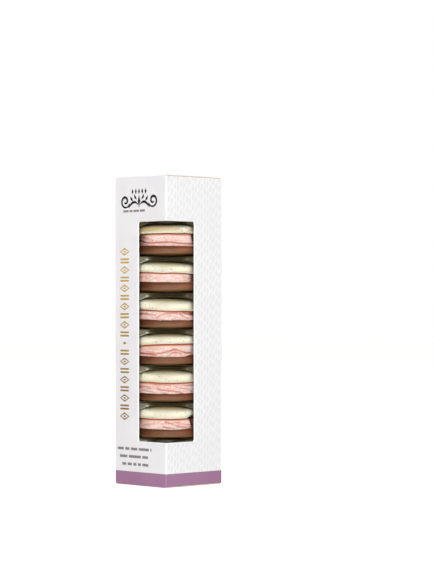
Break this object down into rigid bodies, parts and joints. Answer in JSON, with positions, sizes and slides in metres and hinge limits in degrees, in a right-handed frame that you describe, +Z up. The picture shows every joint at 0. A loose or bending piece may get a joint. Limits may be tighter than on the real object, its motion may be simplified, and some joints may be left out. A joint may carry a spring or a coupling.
{
  "type": "box of macarons",
  "caption": "Upright square card carton with a window cut round one vertical fold, showing round layered macarons lying flat in a formed plastic tray.",
  "frame": {"origin": "middle of the carton's underside, on the surface it stands on", "axes": "+Z up along the carton; -Y out of the plain title panel; +X out of the patterned side panel, so the window's fold stands at +X, -Y"},
  "size_m": [0.0442, 0.0442, 0.178],
  "materials": {
    "board": "smooth white coated card, kraft brown inside and on its cut edges",
    "tray": "thin smoky clear formed sheet",
    "dark_shell": "smooth milk chocolate",
    "filling": "soft whipped pink filling with red fruit specks",
    "pale_shell": "smooth cream white chocolate with fine vanilla specks"
  },
  "bodies": {
    "root": {"carton": "board", "tray": "tray", "macaron_1_base": "dark_shell", "macaron_1_filling": "filling", "macaron_1_top": "pale_shell", "macaron_2_base": "dark_shell", "macaron_2_filling": "filling", "macaron_2_top": "pale_shell", "macaron_3_base": "dark_shell", "macaron_3_filling": "filling", "macaron_3_top": "pale_shell", "macaron_4_base": "dark_shell", "macaron_4_filling": "filling", "macaron_4_top": "pale_shell", "macaron_5_base": "dark_shell", "macaron_5_filling": "filling", "macaron_5_top": "pale_shell", "macaron_6_base": "dark_shell", "macaron_6_filling": "filling", "macaron_6_top": "pale_shell"}
  },
  "joints": []
}
